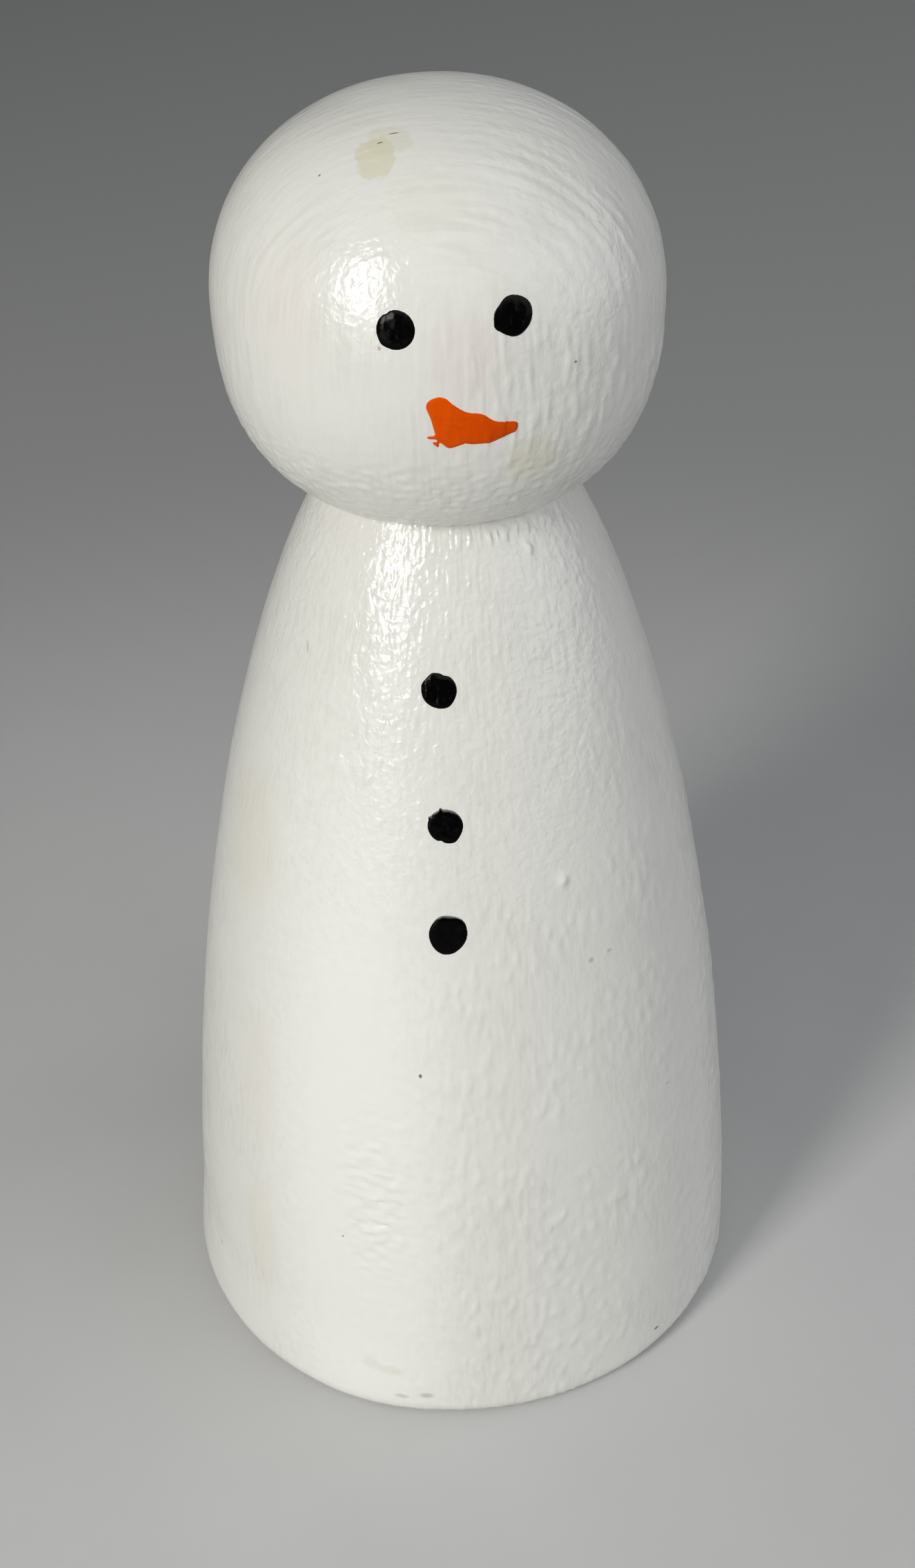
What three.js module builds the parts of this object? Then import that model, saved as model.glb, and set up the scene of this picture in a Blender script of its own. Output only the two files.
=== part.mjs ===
// A hand-painted wooden snowman figure: a turned bell-shaped body, a turned head doweled and
// glued on top of it, and raised dabs of paint for the eyes, the carrot nose and the buttons.
//
// Units are millimetres. +Z is up, the origin is the middle of the flat underside, and the
// face looks along -Y, so +X is on the right of someone looking at the face.

import * as THREE from 'three';
import { mergeVertices } from 'three/addons/utils/BufferGeometryUtils.js';

// Driving dimensions of the turned wood
const TOTAL_HEIGHT = 90;
const BODY_RADIUS = 20.85;
const BODY_CURVE_HEIGHT = 72.75; // where the body's curve would close if it ran on past the neck
const BODY_CURVE_POWER = 1.65; // how late the body's side turns inwards
const BASE_EDGE_RADIUS = 1.7;
const NECK_HEIGHT = 66.2;
const HEAD_RADIUS = 13.5;
const HEAD_CROWN_RISE = 11.95; // from the head's widest ring to its top
const HEAD_CHIN_DROP = 13.05; // from the widest ring to where the lower curve would close
const CROWN_POWER = 2.1; // 2 is an ellipse, more is squarer
const CHIN_POWER = 2.6;
const HEAD_SHIFT_X = -0.13; // the head is glued slightly off the body's axis

// The hidden joint
const DOWEL_RADIUS = 3;
const DOWEL_LENGTH = 16;
const DOWEL_CHAMFER = 0.6;
const DOWEL_CLEARANCE = 0.3; // glue space around the dowel and at both its ends
const GLUE_LINE = 0.1; // between the head's flat and the body's flat

// Paint dabs
const PAINT_GAP = 0.15;
const DAB_EDGE = 0.08; // thickness at the rim of a dab
const DAB_CROWN = 0.3; // thickness at its middle

// Fineness of the curved surfaces
const TURNED_SEGMENTS = 64;
const DOWEL_SEGMENTS = 24;
const PROFILE_STEPS = 18;
const EDGE_STEPS = 4;
const DAB_SECTORS = 28;
const DAB_RINGS = 2;

const HEAD_CENTRE_HEIGHT = TOTAL_HEIGHT - HEAD_CROWN_RISE;
const HEAD_FLAT_HEIGHT = NECK_HEIGHT + GLUE_LINE;
const DOWEL_CENTRE_HEIGHT = NECK_HEIGHT + GLUE_LINE / 2;

const whitePaint = { color: 0xe6e3de, roughness: 0.5, metalness: 0 };
const blackPaint = { color: 0x0b0b0c, roughness: 0.25, metalness: 0 };
const orangePaint = { color: 0xd8520c, roughness: 0.4, metalness: 0 };
const bareWood = { color: 0xd2b48c, roughness: 0.8, metalness: 0 };

// Radius of the body's side at a height above the base.
function bodyRadius(height) {
  return BODY_RADIUS * Math.sqrt(1 - (height / BODY_CURVE_HEIGHT) ** BODY_CURVE_POWER);
}

// Radius of the head at a height above the base: half a squarish ellipse above its widest
// ring, and a squarer one below it.
function headRadius(height) {
  const above = height - HEAD_CENTRE_HEIGHT;
  const reach = above > 0 ? HEAD_CROWN_RISE : HEAD_CHIN_DROP;
  const power = above > 0 ? CROWN_POWER : CHIN_POWER;
  const share = Math.min(Math.abs(above) / reach, 1);
  return HEAD_RADIUS * (1 - share ** power) ** (1 / power);
}

// A solid turned about the Z axis from [radius, height] points that run from the axis at the
// bottom, outwards and up, and back to the axis.
function turned(points, segments) {
  const profile = points.map(([radius, height]) => new THREE.Vector2(radius, height));
  return new THREE.LatheGeometry(profile, segments).rotateX(Math.PI / 2);
}

function piece(name, geometry, finish) {
  const mesh = new THREE.Mesh(geometry, new THREE.MeshStandardMaterial(finish));
  mesh.name = name;
  return mesh;
}

// The body stands on a flat underside with a small rounded edge. Its top is a flat ring
// around the blind hole for the dowel.
function bodyGeometry() {
  const boreRadius = DOWEL_RADIUS + DOWEL_CLEARANCE;
  const boreFloor = DOWEL_CENTRE_HEIGHT - DOWEL_LENGTH / 2 - DOWEL_CLEARANCE;
  const points = [[0, 0]];
  for (let step = 0; step <= EDGE_STEPS; step++) {
    const angle = (step / EDGE_STEPS) * (Math.PI / 2);
    const height = BASE_EDGE_RADIUS * (1 - Math.cos(angle));
    points.push([bodyRadius(height) - BASE_EDGE_RADIUS * (1 - Math.sin(angle)), height]);
  }
  for (let step = 1; step <= PROFILE_STEPS; step++) {
    // The sine puts the rings closer together near the neck, where the curve is tighter.
    const rise = Math.sin((step / PROFILE_STEPS) * (Math.PI / 2));
    const height = BASE_EDGE_RADIUS + (NECK_HEIGHT - BASE_EDGE_RADIUS) * rise;
    points.push([bodyRadius(height), height]);
  }
  points.push([boreRadius, NECK_HEIGHT], [boreRadius, boreFloor], [0, boreFloor]);
  return turned(points, TURNED_SEGMENTS);
}

// The head is a squarish ball with a small flat under it, and the other blind hole.
function headGeometry() {
  const boreRadius = DOWEL_RADIUS + DOWEL_CLEARANCE;
  const boreRoof = DOWEL_CENTRE_HEIGHT + DOWEL_LENGTH / 2 + DOWEL_CLEARANCE;
  const flatDrop = (HEAD_CENTRE_HEIGHT - HEAD_FLAT_HEIGHT) / HEAD_CHIN_DROP;
  const startAngle = -Math.asin(flatDrop ** (CHIN_POWER / 2));
  const points = [[0, boreRoof], [boreRadius, boreRoof], [boreRadius, HEAD_FLAT_HEIGHT]];
  for (let step = 0; step < PROFILE_STEPS; step++) {
    const angle = startAngle + (step / PROFILE_STEPS) * (Math.PI / 2 - startAngle);
    const below = angle < 0;
    const reach = below ? -HEAD_CHIN_DROP : HEAD_CROWN_RISE;
    const power = below ? CHIN_POWER : CROWN_POWER;
    const height = HEAD_CENTRE_HEIGHT + reach * Math.abs(Math.sin(angle)) ** (2 / power);
    points.push([headRadius(height), height]);
  }
  points.push([0, TOTAL_HEIGHT]);
  return turned(points, TURNED_SEGMENTS);
}

function dowelGeometry() {
  const low = DOWEL_CENTRE_HEIGHT - DOWEL_LENGTH / 2;
  const high = DOWEL_CENTRE_HEIGHT + DOWEL_LENGTH / 2;
  const points = [
    [0, low],
    [DOWEL_RADIUS - DOWEL_CHAMFER, low],
    [DOWEL_RADIUS, low + DOWEL_CHAMFER],
    [DOWEL_RADIUS, high - DOWEL_CHAMFER],
    [DOWEL_RADIUS - DOWEL_CHAMFER, high],
    [0, high],
  ];
  return turned(points, DOWEL_SEGMENTS);
}

// A place on a turned surface: an azimuth in radians from the face's middle towards +X, and a
// height. lift is the distance out along the surface's normal.
function surfacePoint(radiusAt, azimuth, height, lift) {
  const step = 0.01;
  const slope = (radiusAt(height + step) - radiusAt(height - step)) / (2 * step);
  const steepness = Math.hypot(1, slope);
  const radius = radiusAt(height) + lift / steepness;
  const z = height - (lift * slope) / steepness;
  return new THREE.Vector3(radius * Math.sin(azimuth), -radius * Math.cos(azimuth), z);
}

// A dab of paint on a turned surface. outline gives a Vector2 for each sector: millimetres
// sideways and upwards along the surface from the dab's middle. The back follows the surface
// at a small gap, and the front swells towards the middle.
function dabGeometry(radiusAt, azimuth, height, outline) {
  const step = 0.01;
  const slope = (radiusAt(height + step) - radiusAt(height - step)) / (2 * step);
  const climb = 1 / Math.hypot(1, slope); // rise in Z for each millimetre up along the surface
  const vertices = [];
  const place = (along, up, lift) => {
    const z = height + up * climb;
    const turn = azimuth + along / radiusAt(z);
    const point = surfacePoint(radiusAt, turn, z, lift);
    vertices.push(point.x, point.y, point.z);
  };
  const swell = (share) => DAB_EDGE + (DAB_CROWN - DAB_EDGE) * (1 - share ** 2);

  // Each side is a middle point, then rings of points that grow towards the outline.
  for (const isFront of [true, false]) {
    place(0, 0, PAINT_GAP + (isFront ? swell(0) : 0));
    for (let ring = 1; ring <= DAB_RINGS; ring++) {
      const share = ring / DAB_RINGS;
      const lift = PAINT_GAP + (isFront ? swell(share) : 0);
      for (const rim of outline) {
        place(rim.x * share, rim.y * share, lift);
      }
    }
  }

  const sectors = outline.length;
  const sideSize = 1 + DAB_RINGS * sectors;
  const index = [];
  const vertexOf = (side, ring, sector) => {
    const first = side * sideSize;
    return ring === 0 ? first : first + 1 + (ring - 1) * sectors + (sector % sectors);
  };
  const triangle = (side, a, b, c) => index.push(...(side === 0 ? [a, b, c] : [a, c, b]));
  for (let sector = 0; sector < sectors; sector++) {
    for (const side of [0, 1]) {
      const middle = vertexOf(side, 0, 0);
      triangle(side, middle, vertexOf(side, 1, sector), vertexOf(side, 1, sector + 1));
      for (let ring = 1; ring < DAB_RINGS; ring++) {
        const inner = vertexOf(side, ring, sector);
        const innerNext = vertexOf(side, ring, sector + 1);
        const outer = vertexOf(side, ring + 1, sector);
        const outerNext = vertexOf(side, ring + 1, sector + 1);
        triangle(side, inner, outer, outerNext);
        triangle(side, inner, outerNext, innerNext);
      }
    }
    const front = vertexOf(0, DAB_RINGS, sector);
    const frontNext = vertexOf(0, DAB_RINGS, sector + 1);
    const back = vertexOf(1, DAB_RINGS, sector);
    const backNext = vertexOf(1, DAB_RINGS, sector + 1);
    triangle(0, front, back, backNext);
    triangle(0, front, backNext, frontNext);
  }

  const geometry = new THREE.BufferGeometry();
  geometry.setAttribute('position', new THREE.Float32BufferAttribute(vertices, 3));
  geometry.setIndex(index);
  return mergeVertices(geometry);
}

// A round dab, stretched by bulge along the direction lean, in radians from sideways.
function roundOutline(diameter, bulge, lean) {
  const outline = [];
  for (let sector = 0; sector < DAB_SECTORS; sector++) {
    const angle = (sector / DAB_SECTORS) * 2 * Math.PI;
    const radius = (diameter / 2) * (1 + bulge * Math.cos(2 * (angle - lean)));
    outline.push(new THREE.Vector2(radius * Math.cos(angle), radius * Math.sin(angle)));
  }
  return outline;
}

// The carrot lies on its side: a blunt root at the left, tapering to a tip at the right.
function carrotOutline() {
  const rim = [
    [3.75, -0.45],
    [2.45, 0.0],
    [1.75, 0.5],
    [0.65, 0.8],
    [-0.25, 1.5],
    [-0.75, 1.6],
    [-1.35, 1.05],
    [-1.1, 0.3],
    [-1.0, -0.6],
    [-1.25, -1.0],
    [-0.65, -1.5],
    [0.7, -1.35],
    [2.2, -1.4],
    [3.55, -0.85],
  ];
  const points = rim.map(([along, up]) => new THREE.Vector3(along, up, 0));
  const curve = new THREE.CatmullRomCurve3(points, true, 'centripetal');
  const outline = [];
  for (let sector = 0; sector < DAB_SECTORS; sector++) {
    const point = curve.getPoint(sector / DAB_SECTORS);
    outline.push(new THREE.Vector2(point.x, point.y));
  }
  return outline;
}

const degrees = THREE.MathUtils.degToRad;

const bodyDabs = [
  { name: 'button_top', azimuth: -3.4, height: 57.3, diameter: 2.3, bulge: 0.02, lean: 110 },
  { name: 'button_middle', azimuth: -2.2, height: 49.0, diameter: 2.35, bulge: 0.02, lean: 100 },
  { name: 'button_bottom', azimuth: -2.0, height: 41.8, diameter: 2.7, bulge: 0.08, lean: 75 },
];

const headDabs = [
  { name: 'left_eye', azimuth: -10.0, height: 80.6, diameter: 2.2, bulge: 0, lean: 0 },
  { name: 'right_eye', azimuth: 17.6, height: 81.1, diameter: 2.3, bulge: 0.07, lean: 35 },
];

const CARROT_AZIMUTH = 2.3;
const CARROT_HEIGHT = 75.3;

function roundDab(dab, radiusAt) {
  const outline = roundOutline(dab.diameter, dab.bulge, degrees(dab.lean));
  const geometry = dabGeometry(radiusAt, degrees(dab.azimuth), dab.height, outline);
  return piece(dab.name, geometry, blackPaint);
}

function carrotNose() {
  const geometry = dabGeometry(headRadius, degrees(CARROT_AZIMUTH), CARROT_HEIGHT, carrotOutline());
  return piece('carrot_nose', geometry, orangePaint);
}

const snowman = new THREE.Group();
snowman.add(piece('body', bodyGeometry(), whitePaint));
snowman.add(piece('neck_dowel', dowelGeometry(), bareWood));
snowman.add(...bodyDabs.map((dab) => roundDab(dab, bodyRadius)));

// Everything on the head shifts with it.
const headGroup = new THREE.Group();
headGroup.position.x = HEAD_SHIFT_X;
headGroup.add(piece('head', headGeometry(), whitePaint));
headGroup.add(...headDabs.map((dab) => roundDab(dab, headRadius)));
headGroup.add(carrotNose());
snowman.add(headGroup);

export default snowman;
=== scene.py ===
import math
from functools import partial

import bpy
import numpy as np
from mathutils import Matrix, Vector, noise
from mathutils.geometry import delaunay_2d_cdt


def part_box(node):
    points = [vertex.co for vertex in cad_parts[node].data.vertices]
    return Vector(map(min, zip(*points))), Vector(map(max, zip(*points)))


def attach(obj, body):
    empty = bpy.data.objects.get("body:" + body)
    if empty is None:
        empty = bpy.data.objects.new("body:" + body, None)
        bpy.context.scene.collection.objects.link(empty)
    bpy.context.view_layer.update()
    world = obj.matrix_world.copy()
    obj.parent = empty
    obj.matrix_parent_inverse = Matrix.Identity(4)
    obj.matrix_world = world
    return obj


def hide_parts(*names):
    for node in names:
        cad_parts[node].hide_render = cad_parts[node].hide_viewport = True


# The looks of a hand-painted wooden snowman figure. Shapes are worked out in millimetres, in
# the CAD's frame: +Z is up, the face looks along -Y. Meshes are in metres.

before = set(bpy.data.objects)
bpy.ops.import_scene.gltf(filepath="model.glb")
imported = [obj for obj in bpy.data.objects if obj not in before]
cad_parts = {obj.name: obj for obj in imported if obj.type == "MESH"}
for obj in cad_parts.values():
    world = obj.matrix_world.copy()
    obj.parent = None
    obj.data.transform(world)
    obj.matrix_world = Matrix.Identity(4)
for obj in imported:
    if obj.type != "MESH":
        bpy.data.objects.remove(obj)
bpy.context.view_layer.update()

MM = 0.001
body_low, body_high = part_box("body")
head_low, head_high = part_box("head")
dowel_low, dowel_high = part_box("neck_dowel")

# Sizes of the turned wood, from the CAD boxes
TOTAL_HEIGHT = head_high.z / MM
BODY_RADIUS = (body_high.x - body_low.x) / 2 / MM
NECK_HEIGHT = body_high.z / MM
HEAD_RADIUS = (head_high.x - head_low.x) / 2 / MM
HEAD_CENTRE_X = (head_high.x + head_low.x) / 2 / MM
HEAD_FLAT_HEIGHT = head_low.z / MM
DOWEL_RADIUS = (dowel_high.x - dowel_low.x) / 2 / MM
DOWEL_LOW = dowel_low.z / MM
DOWEL_HIGH = dowel_high.z / MM

# Curves of the turned wood, as shares of those sizes
BODY_CURVE_HEIGHT = 1.099 * NECK_HEIGHT
BODY_CURVE_POWER = 1.65
BASE_EDGE_RADIUS = 0.082 * BODY_RADIUS
CROWN_RISE = 0.885 * HEAD_RADIUS
CHIN_DROP = 0.967 * HEAD_RADIUS
CROWN_POWER = 2.1
CHIN_POWER = 2.6
HEAD_CENTRE_HEIGHT = TOTAL_HEIGHT - CROWN_RISE
BORE_CLEARANCE = 0.3

# How far apart the noises of different seeds are read
SEED_STEP = 17.3

# Fineness of the meshes. At 0 the front is as fine as the back, and near 1 it is far finer.
BODY_COLUMNS = 336
BODY_ROWS = 276
HEAD_COLUMNS = 430
HEAD_ROWS = 222
FRONT_FINENESS = 0.6
UNDERSIDE_RINGS = 8
BASE_EDGE_STEPS = 8
CURVE_SAMPLES = 4000
SHARP_ANGLE = 50

# Paint dabs
DAB_GRID = 0.05
DAB_RIM_STEP = 0.04
DAB_SINK = 0.03
DAB_CRINKLE = 0.16
DAB_CRINKLE_SIZE = 0.3
DAB_SHOULDER_POWER = 0.7
ROUND_THICKNESS = 0.1
EYE_SHOULDER = 0.5
BUTTON_SHOULDER = 0.45
CARROT_THICKNESS = 0.07
CARROT_SHOULDER = 0.3

# Heights of the paint's relief
RIDGES = 0.075
CROWN_STROKES = 0.05
CHIN_WRINKLES = 0.06
HEAD_DIMPLES = 0.036
HEAD_SWELL = 0.025
BODY_DIMPLES = 0.038
BODY_SWELL = 0.035
BODY_CREASES = 0.21
NECK_BEADS = 0.11
SCRATCH_DEPTH = 0.035
SCRATCH_HEIGHT = 61.65
SCRATCH_WIDTH = 0.12
BASE_EDGE_BUILD_UP = 0.42
BASE_EDGE_SHARE = 0.6
PAINTED_SEAM = 0.05
CREASED_PLACE = (-5.8, -18.1, 20.0)

# Single marks in the body's paint: centre, size, stretch upwards and height. Pits go inwards.
BODY_MARKS = [
    ((4.93, -7.36, 64.49), 0.22, 2.0, 0.2),
    ((6.8, -14.0, 44.3), 0.26, 1.5, 0.26),
    ((-7.04, -11.56, 52.23), 0.25, 1.4, 0.12),
    ((-5.33, -12.67, 51.49), 0.25, 1.2, 0.1),
    ((-7.18, -19.39, 6.03), 0.4, 0.8, 0.08),
    ((-8.52, -18.01, 16.57), 0.22, 0.8, -0.06),
    ((-5.14, -19.17, 17.38), 0.22, 0.8, -0.05),
    ((-7.45, -18.33, 17.92), 0.25, 0.6, -0.05),
]


# ---------------------------------------------------------------- shapes


def body_radius(height):
    """The radius of the body's side at a height above the floor."""
    return BODY_RADIUS * np.sqrt(1 - (height / BODY_CURVE_HEIGHT) ** BODY_CURVE_POWER)


def head_radius(height):
    """The radius of the head at a height above the floor."""
    above = height - HEAD_CENTRE_HEIGHT
    reach = np.where(above > 0, CROWN_RISE, CHIN_DROP)
    power = np.where(above > 0, CROWN_POWER, CHIN_POWER)
    share = np.minimum(np.abs(above) / reach, 1)
    return HEAD_RADIUS * (1 - share**power) ** (1 / power)


def smooth_step(low, high, value):
    """0 at low, 1 at high, and smooth in between; low may be above high."""
    share = np.clip((value - low) / (high - low), 0, 1)
    return share * share * (3 - 2 * share)


def noise_at(points, scale, seed):
    """Perlin noise, about -1 to 1, at each row of points times scale (a number or x, y, z)."""
    shifted = points * np.asarray(scale, float) + seed * SEED_STEP
    return np.array([noise.noise(point) for point in shifted.tolist()])


def around_axis(points, centre_x):
    """Where each point lies on a circle of radius 1 round the turning axis, as x and y."""
    offset = points[:, :2] - (centre_x, 0)
    return offset / np.maximum(np.linalg.norm(offset, axis=1), 1e-6)[:, None]


def azimuths(points):
    """Degrees round the body's axis from the front, positive towards +X."""
    return np.degrees(np.arctan2(points[:, 0], -points[:, 1]))


# ---------------------------------------------------------------- relief of the paint


def upright_strokes(points, centre_x, reach, width, length, seed):
    """Brush ridges up a surface of radius reach, about width apart and length long."""
    circle = around_axis(points, centre_x) * reach
    spread = np.column_stack([circle / width, points[:, 2] / length])
    return noise_at(spread, 1, seed)


def crown_strokes(points, width, length, seed):
    """Brush ridges that arch over the head from side to side, width apart and length long."""
    rise = points[:, 2] - HEAD_CENTRE_HEIGHT
    side = points[:, 0] - HEAD_CENTRE_X
    reach = np.maximum(np.hypot(rise, side), 1e-6)
    arc = np.column_stack([side, rise]) / reach[:, None] * HEAD_RADIUS
    spread = np.column_stack([points[:, 1] / width, arc / length])
    return noise_at(spread, 1, seed)


def lump(points, centre, size, stretch_up):
    """1 at centre, falling to almost nothing two sizes away, and stretched upwards."""
    offset = (points - centre) / (size, size, size * stretch_up)
    return np.exp(-np.sum(offset**2, axis=1))


def head_relief(points):
    """Height of the paint's surface over the turned head: upright ridges that are strongest
    at the right, strokes that arch over the crown, wrinkles where the paint sagged at the
    chin, and a fine dimpled skin on slow swells."""
    rise = points[:, 2] - HEAD_CENTRE_HEIGHT
    on_crown = smooth_step(1.0, 6.0, rise + 0.3 * np.abs(points[:, 0]))
    on_chin = smooth_step(-3.5, -7.5, rise)
    right_side = smooth_step(-1.5, 5.0, points[:, 0])
    strokes = upright_strokes(points, HEAD_CENTRE_X, HEAD_RADIUS, 0.5, 2.2, 1)
    ridges = smooth_step(-0.1, 0.55, strokes)
    arching = crown_strokes(points, 0.45, 5.0, 2)
    wrinkles = noise_at(points, (1 / 0.65, 1 / 0.65, 1 / 0.35), 3)
    dimples = noise_at(points, (1 / 0.5, 1 / 0.5, 1 / 0.8), 4)
    patches = smooth_step(-0.4, 0.4, noise_at(points, 1 / 5.0, 5))
    swell = noise_at(points, 1 / 3.2, 6)
    return (
        RIDGES * ridges * (1 - on_crown) * (1 - on_chin) * (0.3 + 0.7 * right_side)
        + CROWN_STROKES * arching * on_crown * (0.3 + 0.7 * patches) * (0.25 + 0.75 * right_side)
        + CHIN_WRINKLES * wrinkles * on_chin
        + HEAD_DIMPLES * dimples * (0.25 + 0.75 * right_side) * (1 - 0.5 * on_crown)
        + HEAD_SWELL * swell
    )


def neck_beads(points):
    """Paint that gathered and dried in a row of beads under the head, at the front right."""
    azimuth = azimuths(points)
    span = smooth_step(0, 10, azimuth) * smooth_step(62, 50, azimuth)
    drop = NECK_HEIGHT - points[:, 2]
    hang = smooth_step(1.2, 0.8, drop) * smooth_step(0.2, 0.4, drop)
    circle = around_axis(points, 0) * body_radius(NECK_HEIGHT)
    teeth = noise_at(np.column_stack([circle / 0.24, points[:, 2] / 0.8]), 1, 21)
    return NECK_BEADS * smooth_step(0.0, 0.35, teeth) * span * hang


def body_relief(points):
    """Height of the paint's surface over the turned body: upright ridges down the right, a
    pebbled skin at the top of the front and in a band below it, a scratch, a sharper base
    edge at the left, creases low on the left, beads under the head, and single marks."""
    x, z = points[:, 0], points[:, 2]
    azimuth = azimuths(points)
    right_side = smooth_step(-6.0, 0.0, x)
    near_top = smooth_step(40, 52, z)
    front = smooth_step(-14, -8, x) * smooth_step(15, 8, x)
    band = smooth_step(-11, -7, x) * smooth_step(1, -4, x)
    patches = smooth_step(-0.5, 0.2, noise_at(points, 1 / 6.0, 14))
    ridges = smooth_step(0.0, 0.5, upright_strokes(points, 0, BODY_RADIUS, 0.55, 1.2, 11))
    dimples = upright_strokes(points, 0, BODY_RADIUS, 0.5, 0.62, 13)
    swell = noise_at(points, 1 / 4.5, 15)
    creases = noise_at(points, (1 / 0.8, 1 / 0.8, 1 / 0.3), 16)
    on_scratch = smooth_step(18, 26, azimuth) * smooth_step(62, 52, azimuth)
    scratch = np.exp(-(((z - SCRATCH_HEIGHT) / SCRATCH_WIDTH) ** 2)) * on_scratch
    sharper_edge = smooth_step(-125, -85, azimuth) * smooth_step(10, -30, azimuth)
    relief = (
        RIDGES * ridges * (0.06 + 0.94 * right_side) * (1 - 0.75 * near_top) * patches
        + BODY_DIMPLES * dimples * np.maximum(near_top * front, 0.25 + 0.65 * band)
        - SCRATCH_DEPTH * scratch
        + BODY_SWELL * swell
        + BASE_EDGE_BUILD_UP * sharper_edge * smooth_step(8.0, 0.5, z)
        + neck_beads(points)
        + BODY_CREASES * creases * lump(points, CREASED_PLACE, 2.6, 2.6)
    )
    for centre, size, stretch, height in BODY_MARKS:
        relief += height * lump(points, centre, size, stretch)
    return relief


# ---------------------------------------------------------------- meshes


def even_rows(radius_at, low, high, count):
    """count + 1 (radius, height) rows, evenly spaced along the curve from low to high."""
    fine = low + (high - low) * (1 - np.cos(np.linspace(0, math.pi, CURVE_SAMPLES))) / 2
    radii = radius_at(fine)
    walked = np.append(0, np.cumsum(np.hypot(np.diff(radii), np.diff(fine))))
    steps = np.linspace(0, walked[-1], count + 1)
    return np.column_stack([np.interp(steps, walked, radii), np.interp(steps, walked, fine)])


def turned_mesh(name, rows, relief_share, columns, centre_x, relief):
    """A closed mesh turned round a vertical axis from (radius, height) rows that start and
    end on it, finer at the front than at the back. Each row's vertices move out from the
    surface by relief times the row's share."""
    along = np.gradient(rows, axis=0)
    normals = np.column_stack([along[:, 1], -along[:, 0]])
    normals /= np.maximum(np.linalg.norm(normals, axis=1), 1e-9)[:, None]
    angles = np.arange(columns) * 2 * math.pi / columns
    angles = angles - FRONT_FINENESS * np.sin(angles)
    inner = rows[1:-1]
    radius = np.repeat(inner[:, 0], columns)
    height = np.repeat(inner[:, 1], columns)
    turn = np.tile(angles, len(inner))
    points = np.column_stack([centre_x + radius * np.sin(turn), -radius * np.cos(turn), height])
    out = np.repeat(normals[1:-1, 0], columns)
    up = np.repeat(normals[1:-1, 1], columns)
    directions = np.column_stack([out * np.sin(turn), -out * np.cos(turn), up])
    share = np.repeat(np.asarray(relief_share)[1:-1], columns)
    moving = share > 0
    lift = np.zeros(len(points))
    lift[moving] = relief(points[moving]) * share[moving]
    points += directions * lift[:, None]
    points[:, 2] = np.maximum(points[:, 2], 0)
    ends = [(centre_x, 0, rows[0, 1]), (centre_x, 0, rows[-1, 1])]
    vertices = np.vstack([points, ends])
    return mesh_object(name, vertices * MM, turned_faces(len(inner), columns))


def turned_faces(ring_count, columns):
    """Quads between rings of vertices, and a fan at each end. The two ends' own vertices come
    after all the rings."""
    faces = []
    for ring in range(ring_count - 1):
        low = ring * columns
        high = low + columns
        for column in range(columns):
            after = (column + 1) % columns
            faces.append((low + column, low + after, high + after, high + column))
    last = (ring_count - 1) * columns
    first_end = ring_count * columns
    for column in range(columns):
        after = (column + 1) % columns
        faces.append((first_end, after, column))
        faces.append((first_end + 1, last + column, last + after))
    return faces


def mesh_object(name, vertices, faces):
    """Adds a smooth-shaded object, with sharp edges where its faces turn a corner."""
    mesh = bpy.data.meshes.new(name)
    mesh.from_pydata(vertices.tolist(), [], faces)
    mesh.validate()
    mesh.polygons.foreach_set("use_smooth", [True] * len(mesh.polygons))
    mesh.set_sharp_from_angle(angle=math.radians(SHARP_ANGLE))
    made = bpy.data.objects.new(name, mesh)
    bpy.context.scene.collection.objects.link(made)
    return made


def painted_body():
    """The body: flat underside, rounded base edge, side, and the flat with the dowel's hole.
    Paint closes the seam under the head, so the side runs up to meet it."""
    bore = DOWEL_RADIUS + BORE_CLEARANCE
    floor = DOWEL_LOW - BORE_CLEARANCE
    seam_height = HEAD_FLAT_HEIGHT + PAINTED_SEAM
    flat_radii = np.linspace(0, BODY_RADIUS - BASE_EDGE_RADIUS, UNDERSIDE_RINGS)
    underside = [(radius, 0) for radius in flat_radii]
    edge = []
    for angle in np.linspace(0, math.pi / 2, BASE_EDGE_STEPS + 1)[1:]:
        height = BASE_EDGE_RADIUS * (1 - math.cos(angle))
        edge.append((body_radius(height) - BASE_EDGE_RADIUS * (1 - math.sin(angle)), height))
    side = even_rows(body_radius, BASE_EDGE_RADIUS, seam_height, BODY_ROWS)[1:]
    top = [(bore, seam_height), (bore, floor), (0, floor)]
    rows = np.array([*underside, *edge, *side, *top])
    share = np.zeros(len(rows))
    side_start = len(underside) + len(edge)
    share[len(underside) : side_start] = np.linspace(BASE_EDGE_SHARE, 1, len(edge))
    share[side_start : -len(top)] = 1
    return turned_mesh("painted_body", rows, share, BODY_COLUMNS, 0, body_relief)


def painted_head():
    """The head: a squarish ball with a small flat and the dowel's other hole under it."""
    bore = DOWEL_RADIUS + BORE_CLEARANCE
    roof = DOWEL_HIGH + BORE_CLEARANCE
    bottom = [(0, roof), (bore, roof), (bore, HEAD_FLAT_HEIGHT)]
    side = even_rows(head_radius, HEAD_FLAT_HEIGHT, TOTAL_HEIGHT, HEAD_ROWS)
    rows = np.array([*bottom, *side])
    share = np.ones(len(rows))
    share[: len(bottom)] = 0
    return turned_mesh("painted_head", rows, share, HEAD_COLUMNS, HEAD_CENTRE_X, head_relief)


# ---------------------------------------------------------------- paint dabs


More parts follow.
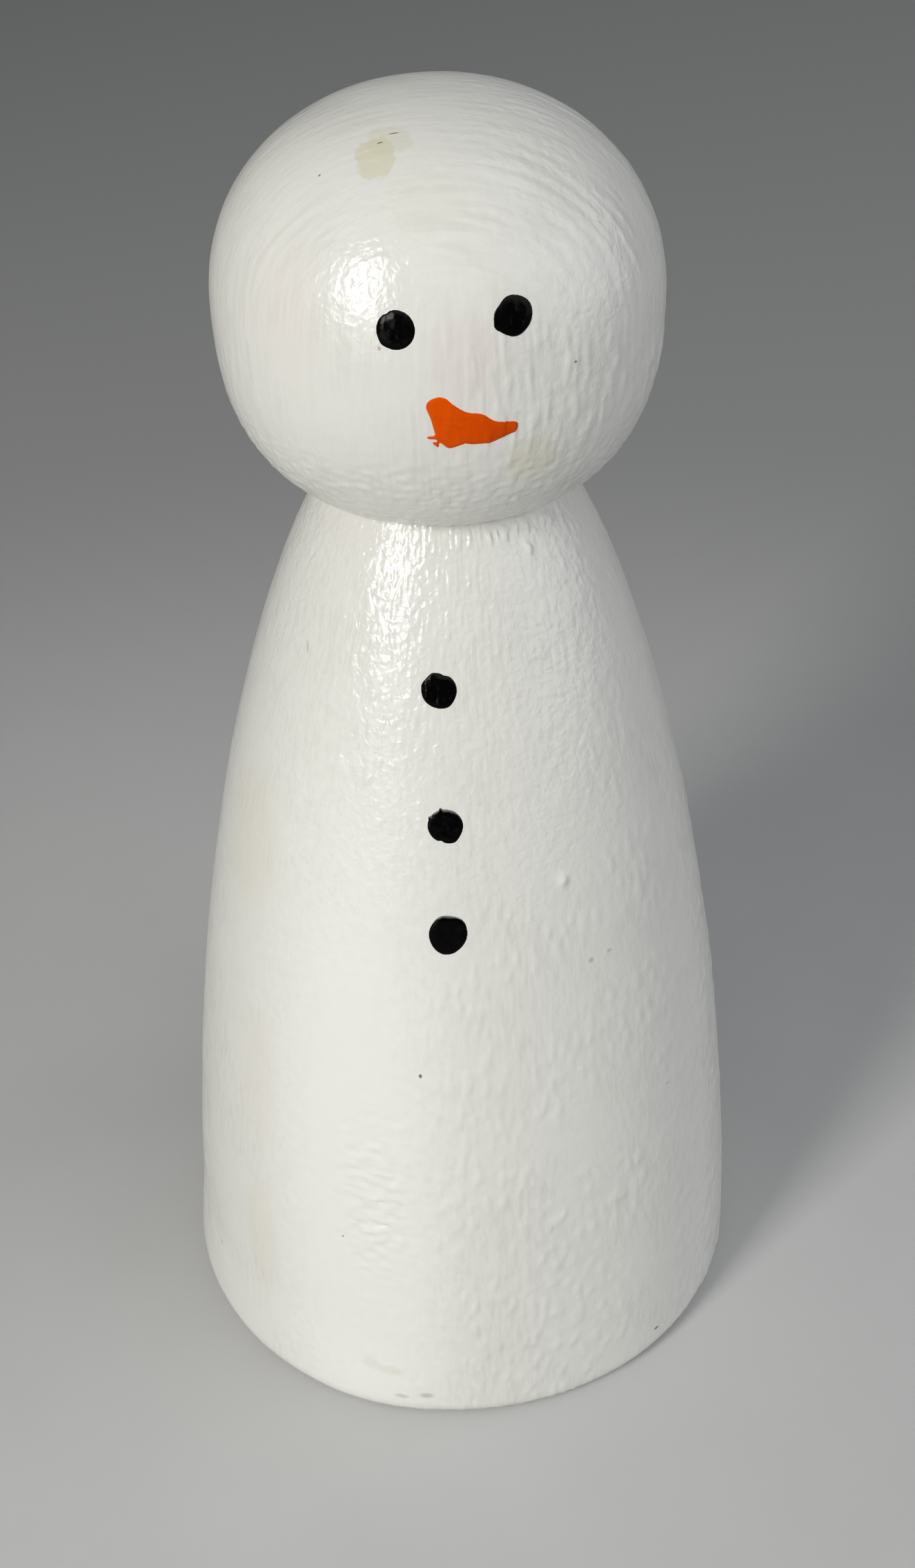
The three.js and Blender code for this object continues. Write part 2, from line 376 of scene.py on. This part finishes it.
def place_on(radius_at, centre_x, relief, azimuth, height, flat, lift):
    """Wraps flat (n, 2) points, in mm sideways and up along the surface from a middle point,
    onto a turned surface, lift above its paint."""
    step = 0.01
    slope = float(radius_at(height + step) - radius_at(height - step)) / (2 * step)
    level = height + flat[:, 1] / math.hypot(1, slope)
    radius = radius_at(level)
    turn = math.radians(azimuth) + flat[:, 0] / radius
    points = np.column_stack([centre_x + radius * np.sin(turn), -radius * np.cos(turn), level])
    slopes = (radius_at(level + step) - radius_at(level - step)) / (2 * step)
    normals = np.column_stack([np.sin(turn), -np.cos(turn), -slopes])
    normals /= np.linalg.norm(normals, axis=1)[:, None]
    return points + normals * (lift + relief(points))[:, None]


def rim_distance(points, rim):
    """How far each point is from the closed outline rim."""
    start, end = rim, np.roll(rim, -1, axis=0)
    edge = end - start
    offset = points[:, None, :] - start[None]
    share = np.sum(offset * edge, axis=2) / np.sum(edge * edge, axis=1)
    nearest = start[None] + np.clip(share, 0, 1)[..., None] * edge[None]
    return np.min(np.linalg.norm(points[:, None, :] - nearest, axis=2), axis=1)


def paint_dab(name, wrap, rim, thickness, shoulder):
    """A raised dab of paint inside the closed outline rim, which wrap lays on a surface. It
    swells from its edge to its full thickness over a distance of shoulder, and its edge and
    underside sit a little into the paint that it lies on."""
    low, high = rim.min(axis=0), rim.max(axis=0)
    across = np.arange(low[0], high[0], DAB_GRID)
    upward = np.arange(low[1], high[1], DAB_GRID)
    grid = np.array([(x, y) for y in upward for x in across])
    grid = grid[rim_distance(grid, rim) > DAB_RIM_STEP / 2]
    flat = np.vstack([rim, grid])
    edges = [(i, (i + 1) % len(rim)) for i in range(len(rim))]
    inside_only, tolerance = 1, 1e-5
    corners = [Vector(point) for point in flat]
    result = delaunay_2d_cdt(corners, edges, [], inside_only, tolerance)
    flat = np.array([tuple(point) for point in result[0]])
    front = [tuple(face) for face in result[2]]
    used = sorted({corner for face in front for corner in face})
    renumber = {old: new for new, old in enumerate(used)}
    flat = flat[used]
    front = [tuple(renumber[corner] for corner in face) for face in front]

    depth = np.minimum(rim_distance(flat, rim) / shoulder, 1)
    flat_places = np.column_stack([flat, np.zeros(len(flat))])
    crinkle = noise_at(flat_places, 1 / DAB_CRINKLE_SIZE, 31)
    shape = (1 - (1 - depth) ** 2) ** DAB_SHOULDER_POWER
    swell = thickness * shape * (1 + DAB_CRINKLE * crinkle)
    on_rim = depth < 1e-3
    top = wrap(flat, swell - DAB_SINK * on_rim)
    bottom = wrap(flat, np.full(len(flat), -2 * DAB_SINK))
    count = len(flat)
    sides = {}
    for face in front:
        for a, b in zip(face, face[1:] + face[:1]):
            if (b, a) in sides:
                del sides[(b, a)]
            else:
                sides[(a, b)] = True
    faces = list(front)
    faces += [tuple(corner + count for corner in reversed(face)) for face in front]
    faces += [(b, a, a + count, b + count) for a, b in sides]
    return mesh_object(name, np.vstack([top, bottom]) * MM, faces)


def round_rim(diameter, bumps):
    """A round outline. Each bump is (direction in degrees, rise in mm, half width)."""
    count = int(math.pi * diameter / DAB_RIM_STEP)
    angles = np.arange(count) * 360 / count
    radius = np.full(count, diameter / 2)
    for direction, rise, width in bumps:
        away = (angles - direction + 180) % 360 - 180
        radius += rise * np.exp(-((away / width) ** 2))
    turn = np.radians(angles)
    return np.column_stack([radius * np.cos(turn), radius * np.sin(turn)])


def smooth_rim(corners):
    """A smooth closed outline through corners, as a Catmull-Rom curve."""
    points = [Vector(corner) for corner in corners]
    rim = []
    for i in range(len(points)):
        before, start, end, after = (points[(i + k) % len(points)] for k in (-1, 0, 1, 2))
        steps = max(2, int((end - start).length / DAB_RIM_STEP))
        for step in range(steps):
            t = step / steps
            linear = (end - before) * t
            square = (2 * before - 5 * start + 4 * end - after) * t**2
            cube = (3 * start - before - 3 * end + after) * t**3
            rim.append(0.5 * (2 * start + linear + square + cube))
    return np.array([tuple(point) for point in rim])


def on_head(azimuth, height):
    """The wrap for a dab whose middle is at that azimuth and height on the head."""
    return partial(place_on, head_radius, HEAD_CENTRE_X, head_relief, azimuth, height)


def on_body(azimuth, height):
    """The wrap for a dab whose middle is at that azimuth and height on the body."""
    return partial(place_on, body_radius, 0, body_relief, azimuth, height)


# The carrot's outline: the tip at the right, the blunt root at the left and two drips below it
CARROT_CORNERS = [
    (3.62, -0.84),
    (3.76, -0.5),
    (3.6, -0.22),
    (2.46, 0.0),
    (1.74, 0.48),
    (1.0, 0.63),
    (0.6, 0.82),
    (0.1, 1.2),
    (-0.25, 1.52),
    (-0.7, 1.62),
    (-1.2, 1.4),
    (-1.36, 1.0),
    (-1.14, 0.36),
    (-0.98, -0.3),
    (-0.94, -0.66),
    (-1.3, -0.74),
    (-1.3, -0.92),
    (-0.9, -0.94),
    (-0.82, -1.06),
    (-1.08, -1.14),
    (-0.72, -1.48),
    (-0.66, -1.2),
    (-0.52, -1.26),
    (-0.1, -1.56),
    (0.7, -1.32),
    (1.2, -1.4),
    (2.2, -1.38),
    (2.9, -1.12),
]


# ---------------------------------------------------------------- material nodes


class Nodes:
    """A material's node tree, with short ways to add what the paints are made of."""

    def __init__(self, name):
        self.material = bpy.data.materials.new(name)
        self.material.use_nodes = True
        self.tree = self.material.node_tree
        self.shader = self.tree.nodes["Principled BSDF"]
        self.place = self.add("ShaderNodeTexCoord").outputs["Object"]

    def add(self, kind, inputs=None, **settings):
        made = self.tree.nodes.new(kind)
        for key, value in settings.items():
            setattr(made, key, value)
        for key, value in (inputs or {}).items():
            self.feed(made.inputs[key], value)
        return made

    def feed(self, socket, value):
        """Links value to the socket if it is another node's output, or else sets it."""
        if isinstance(value, bpy.types.NodeSocket):
            self.tree.links.new(value, socket)
        else:
            socket.default_value = value

    def set(self, **values):
        """Feeds the shader's sockets, by their short names in SOCKETS."""
        for key, value in values.items():
            self.feed(self.shader.inputs[SOCKETS[key]], value)

    def maths(self, operation, a, b=0.0):
        return self.add("ShaderNodeMath", {0: a, 1: b}, operation=operation).outputs[0]

    def plus(self, a, b):
        return self.maths("ADD", a, b)

    def times(self, a, b):
        return self.maths("MULTIPLY", a, b)

    def larger(self, a, b):
        return self.maths("MAXIMUM", a, b)

    def vector(self, operation, a, b=(0.0, 0.0, 0.0)):
        made = self.add("ShaderNodeVectorMath", {0: a, 1: b}, operation=operation)
        return made.outputs["Value" if operation == "LENGTH" else "Vector"]

    def parts(self, vector):
        made = self.add("ShaderNodeSeparateXYZ", {0: vector})
        return made.outputs["X"], made.outputs["Y"], made.outputs["Z"]

    def joined(self, x, y, z):
        return self.add("ShaderNodeCombineXYZ", {"X": x, "Y": y, "Z": z}).outputs[0]

    def ramp(self, value, low, high, start=0.0, end=1.0):
        """start where value is low, end where it is high, and smooth in between."""
        inputs = {
            "Value": value,
            "From Min": low,
            "From Max": high,
            "To Min": start,
            "To Max": end,
        }
        made = self.add("ShaderNodeMapRange", inputs, interpolation_type="SMOOTHSTEP")
        return made.outputs["Result"]

    def noise(self, vector, scale, detail=2.0, roughness=0.5, distortion=0.0):
        """Noise from 0 to 1, mostly near 0.5."""
        inputs = {
            "Vector": vector,
            "Scale": scale,
            "Detail": detail,
            "Roughness": roughness,
            "Distortion": distortion,
        }
        return self.add("ShaderNodeTexNoise", inputs).outputs["Fac"]

    def mix(self, share, a, b):
        """A colour that goes from a to b as share goes from 0 to 1."""
        inputs = {"Factor": share, 6: a, 7: b}
        return self.add("ShaderNodeMix", inputs, data_type="RGBA").outputs[2]

    def blend(self, share, a, b):
        """A number that goes from a to b as share goes from 0 to 1."""
        return self.add("ShaderNodeMix", {"Factor": share, 2: a, 3: b}).outputs[0]

    def bump(self, height, distance):
        inputs = {"Height": height, "Distance": distance, "Strength": 1.0}
        return self.add("ShaderNodeBump", inputs).outputs["Normal"]

    def patch(self, centre, size, ragged, soft):
        """1 inside a ragged blot of that size (mm) round centre (mm), 0 outside."""
        shifted = self.vector("SUBTRACT", self.place, [c * MM for c in centre])
        scaled = self.vector("DIVIDE", shifted, [s * MM for s in size])
        distance = self.vector("LENGTH", scaled)
        wobble = self.maths("SUBTRACT", self.noise(self.place, 1 / (0.7 * MM), 3.0, 0.6), 0.5)
        total = self.plus(distance, self.times(wobble, 2 * ragged))
        return self.ramp(total, 1.0 + soft, 1.0 - soft)


SOCKETS = {
    "base_color": "Base Color",
    "roughness": "Roughness",
    "normal": "Normal",
    "specular": "Specular IOR Level",
}


def grey(level):
    """An even grey, from 0 for black to 1 for white."""
    return (level, level, level, 1.0)


PAINT = (0.765, 0.76, 0.72, 1.0)
THIN_PAINT = (0.715, 0.708, 0.668, 1.0)
CREAM = (0.67, 0.64, 0.47, 1.0)
PINK = (0.76, 0.685, 0.65, 1.0)
PLUM = (0.42, 0.25, 0.27, 1.0)
PAINTED_SHEEN_WHITE = (0.86, 0.855, 0.815, 1.0)
SMUDGE = (0.42, 0.42, 0.4, 1.0)
SPECK = (0.2, 0.19, 0.17, 1.0)
BLACK = grey(0.001)
DUSTED_BLACK = grey(0.003)
ORANGE = (0.74, 0.082, 0.0, 1.0)
ORANGE_TIP = (0.62, 0.062, 0.0, 1.0)
ORANGE_DRAG = (0.58, 0.05, 0.0, 1.0)
END_GRAIN_LIGHT = (0.56, 0.40, 0.25, 1.0)
END_GRAIN_DARK = (0.42, 0.27, 0.15, 1.0)
PORE = (0.25, 0.15, 0.08, 1.0)
BEECH_DARK = (0.55, 0.37, 0.22, 1.0)
BEECH_LIGHT = (0.68, 0.49, 0.31, 1.0)
BEECH_FLECK = (0.33, 0.19, 0.1, 1.0)

# How pale the painted sheen on the upward-facing part of a black dab's rim is
NO_RIM_SHEEN = 0.01
RIM_SHEEN = 0.15


def upright_place(nodes, centre_x, reach, width, length):
    """Coordinates that make cells width wide and length tall on a turned surface, in mm."""
    x, y, z = nodes.parts(nodes.vector("SUBTRACT", nodes.place, (centre_x * MM, 0.0, 0.0)))
    circle_x, circle_y, _ = nodes.parts(nodes.vector("NORMALIZE", nodes.joined(x, y, 0.0)))
    return nodes.joined(
        nodes.times(circle_x, reach / width),
        nodes.times(circle_y, reach / width),
        nodes.times(z, 1 / (length * MM)),
    )


def arching_place(nodes, width, length):
    """Coordinates for cells that arch over the head, width wide and length long, in mm."""
    centre = (HEAD_CENTRE_X * MM, 0.0, HEAD_CENTRE_HEIGHT * MM)
    x, y, z = nodes.parts(nodes.vector("SUBTRACT", nodes.place, centre))
    circle_x, _, circle_z = nodes.parts(nodes.vector("NORMALIZE", nodes.joined(x, 0.0, z)))
    return nodes.joined(
        nodes.times(circle_x, HEAD_RADIUS / length),
        nodes.times(y, 1 / (width * MM)),
        nodes.times(circle_z, HEAD_RADIUS / length),
    )


def white_paint(nodes, stroke, brushed, pebbled, blots, specks):
    """Hand-brushed satin white: thin and thick streaks, stains and painted sheen, dark specks,
    a patchy gloss, and fine brush marks and pebbles. stroke is noise in streaks, and brushed
    and pebbled say how strong the two reliefs are. Blots are (centre, size, colour, share,
    softness) and specks (centre, size). Gives back the colour."""
    cloud = nodes.noise(nodes.place, 1 / (6 * MM), 3.0, 0.55)
    thin = nodes.times(nodes.ramp(stroke, 0.42, 0.66), nodes.ramp(cloud, 0.38, 0.62))
    colour = nodes.mix(thin, PAINT, THIN_PAINT)
    for centre, size, tint, share, soft in blots:
        mask = nodes.times(nodes.patch(centre, size, 0.4, soft), share)
        colour = nodes.mix(mask, colour, tint)
    for centre, size in specks:
        colour = nodes.mix(nodes.patch(centre, size, 0.25, 0.25), colour, SPECK)

    bumps = nodes.noise(nodes.place, 1 / (0.46 * MM), 1.0, 0.4, 0.4)
    grain = nodes.noise(nodes.place, 1 / (0.12 * MM), 2.0)
    pebbles = nodes.plus(nodes.times(bumps, pebbled), nodes.times(grain, 0.04))
    height = nodes.plus(pebbles, nodes.times(stroke, brushed))
    patchy = nodes.noise(nodes.place, 1 / (2.2 * MM), 3.0, 0.6)
    nodes.set(
        base_color=colour,
        roughness=nodes.ramp(patchy, 0.35, 0.65, 0.2, 0.27),
        normal=nodes.bump(height, 0.06 * MM),
    )
    return colour


def head_material():
    """White paint with upright strokes, strokes that arch over the crown, a cream stain and
    two hairs on the forehead, and a pink blush beside the nose."""
    nodes = Nodes("head_white_paint")
    x, _, z = nodes.parts(nodes.place)
    upright = nodes.noise(upright_place(nodes, HEAD_CENTRE_X, HEAD_RADIUS, 0.3, 3.5), 1.0)
    arching = nodes.noise(arching_place(nodes, 0.32, 5.0), 1.0)
    low, high = (HEAD_CENTRE_HEIGHT + 2) * MM, (HEAD_CENTRE_HEIGHT + 7) * MM
    stroke = nodes.blend(nodes.ramp(z, low, high), upright, arching)
    brushed = nodes.ramp(z, low, high, 0.3, 0.42)
    on_right = nodes.ramp(x, 0.0, 7 * MM, 0.3, 0.7)
    beside_eye = nodes.patch((-4.5, -11.5, 83.0), (4.5, 4.5, 4.5), 0.3, 0.6)
    on_chin = nodes.ramp(z, 73 * MM, 69 * MM, 0.3, 0.9)
    pebbled = nodes.larger(nodes.larger(on_right, beside_eye), on_chin)
    blots = [
        ((-3.3, -7.1, 88.0), (1.1, 1.6, 1.3), CREAM, 0.7, 0.08),
        ((-2.6, -6.2, 88.6), (1.3, 1.2, 0.8), CREAM, 0.35, 0.1),
        ((-0.6, -9.8, 86.4), (2.2, 2.0, 1.6), CREAM, 0.16, 0.4),
        ((1.2, -13.4, 79.0), (1.8, 2.0, 2.2), PINK, 0.5, 0.4),
        ((-8.6, -10.2, 80.6), (2.0, 2.0, 3.0), PINK, 0.25, 0.4),
        ((4.9, -11.9, 72.4), (1.5, 2.0, 1.5), CREAM, 0.45, 0.3),
        ((-3.34, -13.03, 79.61), (0.1, 0.2, 0.12), PLUM, 0.7, 0.3),
    ]
    specks = [
        ((7.3, -11.3, 77.9), (0.08, 0.2, 0.07)),
        ((-2.26, -5.75, 88.88), (0.28, 0.04, 0.2)),
        ((-3.03, -6.26, 88.54), (0.16, 0.045, 0.2)),
        ((-6.35, -6.87, 87.04), (0.09, 0.05, 0.1)),
    ]
    white_paint(nodes, stroke, brushed, pebbled, blots, specks)
    return nodes.material


def body_material():
    """White paint with a painted sheen down the front left, and faint stains and scuffs."""
    nodes = Nodes("body_white_paint")
    x, _, z = nodes.parts(nodes.place)
    stroke = nodes.noise(upright_place(nodes, 0, BODY_RADIUS, 0.32, 1.8), 1.0)
    on_right = nodes.ramp(x, -2 * MM, 6 * MM, 0.08, 0.35)
    in_front = nodes.maths(
        "MINIMUM",
        nodes.ramp(x, -13 * MM, -8 * MM, 0.3, 1.2),
        nodes.ramp(x, 4 * MM, 12 * MM, 1.2, 0.4),
    )
    near_top = nodes.ramp(z, 33 * MM, 50 * MM, 0.0, in_front)
    pebbled = nodes.larger(on_right, near_top)
    blots = [
        # Painted sheen: a broad brighter blot down the front left of the body
        ((-7.0, -17.5, 20.0), (6.0, 12.0, 34.0), PAINTED_SHEEN_WHITE, 1.0, 0.6),
        ((-13.5, -8.0, 43.9), (3.0, 3.0, 5.0), CREAM, 0.2, 0.4),
        ((-14.0, -12.6, 26.3), (1.4, 2.0, 6.0), CREAM, 0.14, 0.4),
        ((-14.8, -13.8, 12.8), (1.3, 2.5, 5.0), CREAM, 0.18, 0.4),
        ((-7.0, -19.5, 5.0), (0.7, 1.0, 0.5), SMUDGE, 0.12, 0.4),
        ((-5.6, -19.9, 4.7), (0.9, 1.0, 0.4), CREAM, 0.3, 0.4),
        ((8.67, -14.5, 38.06), (0.17, 0.3, 0.17), SMUDGE, 0.7, 0.5),
        ((9.91, -13.66, 38.14), (0.15, 0.3, 0.13), SMUDGE, 0.6, 0.5),
        ((-4.9, -20.2, 2.3), (0.5, 0.6, 0.2), SMUDGE, 0.5, 0.5),
        ((-3.1, -20.6, 2.6), (0.5, 0.6, 0.26), SMUDGE, 0.6, 0.5),
        ((-8.81, -7.55, 58.15), (0.08, 0.25, 0.45), SMUDGE, 0.5, 0.5),
        ((-18.55, -9.06, 6.7), (0.16, 0.3, 0.13), SMUDGE, 0.6, 0.5),
        ((14.39, -12.37, 25.01), (0.14, 0.3, 0.12), SMUDGE, 0.4, 0.5),
    ]
    specks = [
        ((-2.65, -17.86, 31.4), (0.1, 0.2, 0.15)),
        ((14.18, -15.23, 2.71), (0.22, 0.25, 0.13)),
        ((-8.52, -18.01, 16.57), (0.07, 0.2, 0.06)),
    ]
    colour = white_paint(nodes, stroke, 0.05, pebbled, blots, specks)
    bare_underside(nodes, colour)
    return nodes.material


def bare_underside(nodes, painted):
    """Bare end grain over the body's painted colour on the underside, inside a ragged edge
    of paint. The rings curve round a pith near the front edge."""
    x, y, z = nodes.parts(nodes.place)
    below = nodes.ramp(z, 0.12 * MM, 0.04 * MM)
    reach = nodes.vector("LENGTH", nodes.joined(x, y, 0.0))
    ragged = nodes.times(nodes.noise(nodes.place, 1 / (1.8 * MM), 3.0, 0.6), 5 * MM)
    bare = nodes.ramp(nodes.plus(reach, ragged), 19.6 * MM, 19.2 * MM)
    pith = nodes.vector("LENGTH", nodes.vector("SUBTRACT", nodes.place, (9 * MM, -14 * MM, 0.0)))
    wobble = nodes.times(nodes.noise(nodes.place, 1 / (9 * MM)), 3 * MM)
    turns = nodes.times(nodes.plus(pith, wobble), 2 * math.pi / (1.3 * MM))
    rings = nodes.ramp(nodes.maths("SINE", turns), -0.4, 1.0)
    wood = nodes.mix(rings, END_GRAIN_LIGHT, END_GRAIN_DARK)
    pores = nodes.ramp(nodes.noise(nodes.place, 1 / (0.22 * MM)), 0.6, 0.72, 0.0, 0.5)
    wood = nodes.mix(pores, wood, PORE)
    nodes.set(base_color=nodes.mix(nodes.times(below, bare), painted, wood))


def black_paint(name, rim_sheen):
    """Glossy black with a crinkled skin, and a painted sheen along the part of its rim that faces
    up.
    """
    nodes = Nodes(name)
    crinkle = nodes.noise(nodes.place, 1 / (0.2 * MM), 3.0, 0.6, 0.4)
    dust = nodes.ramp(nodes.noise(nodes.place, 1 / (0.5 * MM), 3.0), 0.5, 0.75)
    colour = nodes.mix(dust, BLACK, DUSTED_BLACK)
    _, _, facing_up = nodes.parts(nodes.add("ShaderNodeTexCoord").outputs["Normal"])
    # Painted sheen: the rim is paler where it faces up, standing in for light reflected off it
    colour = nodes.mix(nodes.ramp(facing_up, 0.42, 0.58), colour, grey(rim_sheen))
    nodes.set(
        base_color=colour,
        roughness=nodes.ramp(nodes.noise(nodes.place, 1 / (0.3 * MM)), 0.35, 0.65, 0.08, 0.16),
        normal=nodes.bump(crinkle, 0.015 * MM),
        specular=0.07,
    )
    return nodes.material


def orange_paint():
    """Thick satin orange, deeper towards the tip and in level drag marks."""
    nodes = Nodes("carrot_orange_paint")
    x, _, _ = nodes.parts(nodes.place)
    towards_tip = nodes.ramp(x, -0.5 * MM, 4 * MM)
    along = nodes.vector("MULTIPLY", nodes.place, (0.25, 0.25, 1.0))
    drag = nodes.noise(along, 1 / (0.22 * MM), 3.0)
    colour = nodes.mix(towards_tip, ORANGE, ORANGE_TIP)
    colour = nodes.mix(nodes.ramp(drag, 0.45, 0.75, 0.0, 0.3), colour, ORANGE_DRAG)
    nodes.set(
        base_color=colour,
        roughness=nodes.ramp(drag, 0.3, 0.7, 0.3, 0.45),
        normal=nodes.bump(drag, 0.012 * MM),
        specular=0.05,
    )
    return nodes.material


def dowel_wood():
    """Bare beech: straight grain along the dowel, with short dark flecks."""
    nodes = Nodes("dowel_beech")
    grain = nodes.noise(nodes.vector("MULTIPLY", nodes.place, (1, 1, 0.08)), 1 / (0.35 * MM), 4.0)
    flecks = nodes.noise(nodes.vector("MULTIPLY", nodes.place, (1, 1, 0.25)), 1 / (0.2 * MM), 1.0)
    colour = nodes.mix(nodes.ramp(grain, 0.3, 0.7), BEECH_DARK, BEECH_LIGHT)
    colour = nodes.mix(nodes.ramp(flecks, 0.66, 0.74, 0.0, 0.6), colour, BEECH_FLECK)
    nodes.set(
        base_color=colour,
        roughness=nodes.ramp(grain, 0.3, 0.7, 0.65, 0.85),
        normal=nodes.bump(grain, 0.04 * MM),
    )
    return nodes.material


# ---------------------------------------------------------------- stage


# The camera's place as shares of the figure's height, its turn in degrees, and its lens
CAMERA_BACK = 1.238
CAMERA_UP = 1.3219
CAMERA_PITCH = 34.55
CAMERA_YAW = 0.46
CAMERA_ROLL = -1.25
CAMERA_SENSOR = 36
CAMERA_LENS = 44.4
CAMERA_SHIFT = -0.0054
CAMERA_CLIP = 0.005

WINDOW_WHITE = (1.0, 0.985, 0.94)

# Each lamp's azimuth and elevation in degrees, distance and size in metres, power and colour
LAMPS = {
    "window": (-39, 26.5, 0.42, (0.09, 0.2), 1.12, WINDOW_WHITE),
    "window_foot": (-35, 3, 0.42, (0.12, 0.2), 0.15, WINDOW_WHITE),
    "ceiling": (30, 60, 0.7, (0.9, 0.9), 1.6, (0.98, 0.99, 1.0)),
    "right": (78, 18, 0.7, (0.8, 0.5), 1.5, (0.93, 0.965, 1.0)),
    "back": (165, 20, 0.8, (0.8, 0.8), 0.3, (0.95, 0.975, 1.0)),
}
LAMP_TARGET = 0.55

# Half the floor's width in metres, and where its painted pool of light fades to grey, in mm
FLOOR_REACH = 3.0
LIGHT_POOL_FADE = (30, 160)


def add_camera():
    """A close view from in front and above, as a phone held over the figure sees it."""
    height = TOTAL_HEIGHT * MM
    place = Vector((0, -CAMERA_BACK * height, CAMERA_UP * height))
    pitch, yaw, roll = (math.radians(turn) for turn in (CAMERA_PITCH, CAMERA_YAW, CAMERA_ROLL))
    ahead = Vector(
        (math.sin(yaw) * math.cos(pitch), math.cos(yaw) * math.cos(pitch), -math.sin(pitch))
    )
    level = ahead.cross(Vector((0, 0, 1))).normalized()
    upward = level.cross(ahead)
    right = math.cos(roll) * level + math.sin(roll) * upward
    above = math.cos(roll) * upward - math.sin(roll) * level
    data = bpy.data.cameras.new("camera")
    data.sensor_width = CAMERA_SENSOR
    data.lens = CAMERA_LENS
    data.shift_x = CAMERA_SHIFT
    data.clip_start = CAMERA_CLIP
    camera = bpy.data.objects.new("camera", data)
    turn = Matrix((right, above, -ahead)).transposed().to_4x4()
    camera.matrix_world = Matrix.Translation(place) @ turn
    bpy.context.scene.collection.objects.link(camera)
    bpy.context.scene.camera = camera


def add_lamp(name, azimuth, elevation, distance, size, power, colour):
    """A rectangular soft lamp that shines at a point a little above the figure's middle."""
    target = Vector((0, 0, TOTAL_HEIGHT * MM * LAMP_TARGET))
    turn, rise = math.radians(azimuth), math.radians(elevation)
    back = Vector(
        (math.sin(turn) * math.cos(rise), -math.cos(turn) * math.cos(rise), math.sin(rise))
    )
    data = bpy.data.lights.new(name, "AREA")
    data.shape = "RECTANGLE"
    data.size, data.size_y = size
    data.energy = power
    data.color = colour
    lamp = bpy.data.objects.new(name, data)
    lamp.location = target + back * distance
    lamp.rotation_mode = "QUATERNION"
    lamp.rotation_quaternion = (-back).to_track_quat("-Z", "Y")
    bpy.context.scene.collection.objects.link(lamp)


def add_floor():
    """A pale floor with a painted pool of light: paler round the figure, greyer away from it."""
    around = [(-1, -1, 0), (1, -1, 0), (1, 1, 0), (-1, 1, 0)]
    floor = mesh_object("floor", np.array(around) * FLOOR_REACH, [(0, 1, 2, 3)])
    nodes = Nodes("pale_floor")
    # Painted pool of light: the floor's colour fades from pale to grey away from the figure
    away = nodes.ramp(nodes.vector("LENGTH", nodes.place), *(end * MM for end in LIGHT_POOL_FADE))
    mottle = nodes.noise(nodes.place, 1 / (14 * MM), 3.0)
    near = nodes.mix(mottle, grey(0.55), grey(0.6))
    nodes.set(base_color=nodes.mix(away, near, grey(0.38)), roughness=0.75)
    floor.data.materials.append(nodes.material)


def add_light():
    """The lamps, and a dim even light from all round."""
    for name, settings in LAMPS.items():
        add_lamp(name, *settings)
    world = bpy.data.worlds.new("soft_room")
    world.use_nodes = True
    sky = world.node_tree.nodes["Background"]
    sky.inputs["Color"].default_value = (0.96, 0.98, 1.0, 1)
    sky.inputs["Strength"].default_value = 0.1
    bpy.context.scene.world = world
    bpy.context.scene.view_settings.view_transform = "Standard"


# ---------------------------------------------------------------- the figure


def finish_piece(piece, node, material):
    """Gives a piece its material and makes it stand for a CAD node."""
    piece.data.materials.append(material)
    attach(piece, "root")
    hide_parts(node)


def add_round_dab(node, wrap, diameter, bumps, shoulder, rim_sheen):
    """An eye or a button: a round black dab with bumps in its outline."""
    rim = round_rim(diameter, bumps)
    dab = paint_dab(node + "_dab", wrap, rim, ROUND_THICKNESS, shoulder)
    finish_piece(dab, node, black_paint(node + "_black_paint", rim_sheen))


def add_eyes():
    """The eyes, the viewer's left one first."""
    left_bumps = [(225, 0.05, 14), (121, -0.06, 9)]
    right_bumps = [(28, 0.09, 32), (207, 0.12, 15), (137, -0.12, 24), (275, 0.05, 20)]
    add_round_dab("left_eye", on_head(-10.0, 80.6), 2.14, left_bumps, EYE_SHOULDER, NO_RIM_SHEEN)
    add_round_dab("right_eye", on_head(17.6, 81.06), 2.18, right_bumps, EYE_SHOULDER, NO_RIM_SHEEN)


def add_nose():
    """The carrot nose, painted in one stroke."""
    rim = smooth_rim(CARROT_CORNERS)
    wrap = on_head(2.3, 75.34)
    carrot = paint_dab("carrot_nose_stroke", wrap, rim, CARROT_THICKNESS, CARROT_SHOULDER)
    finish_piece(carrot, "carrot_nose", orange_paint())


def add_buttons():
    """The buttons. The lower two have a painted sheen on their rims."""
    shoulder = BUTTON_SHOULDER
    top_bumps = [(110, 0.09, 15), (298, 0.08, 22), (72, -0.07, 12), (160, 0.04, 15)]
    middle_bumps = [(104, 0.15, 5), (151, 0.1, 5), (297, 0.12, 22), (255, -0.09, 8)]
    bottom_bumps = [(52, 0.17, 32), (108, 0.15, 26), (258, 0.22, 40)]
    add_round_dab("button_top", on_body(-3.4, 57.3), 2.2, top_bumps, shoulder, NO_RIM_SHEEN)
    # The middle and bottom buttons get a painted sheen on their upward-facing rims
    add_round_dab("button_middle", on_body(-2.2, 49.04), 2.24, middle_bumps, shoulder, RIM_SHEEN)
    add_round_dab("button_bottom", on_body(-2.05, 41.8), 2.46, bottom_bumps, shoulder, RIM_SHEEN)


add_camera()
add_light()
add_floor()
finish_piece(painted_body(), "body", body_material())
finish_piece(painted_head(), "head", head_material())
add_eyes()
add_nose()
add_buttons()
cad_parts["neck_dowel"].data.materials[0] = dowel_wood()
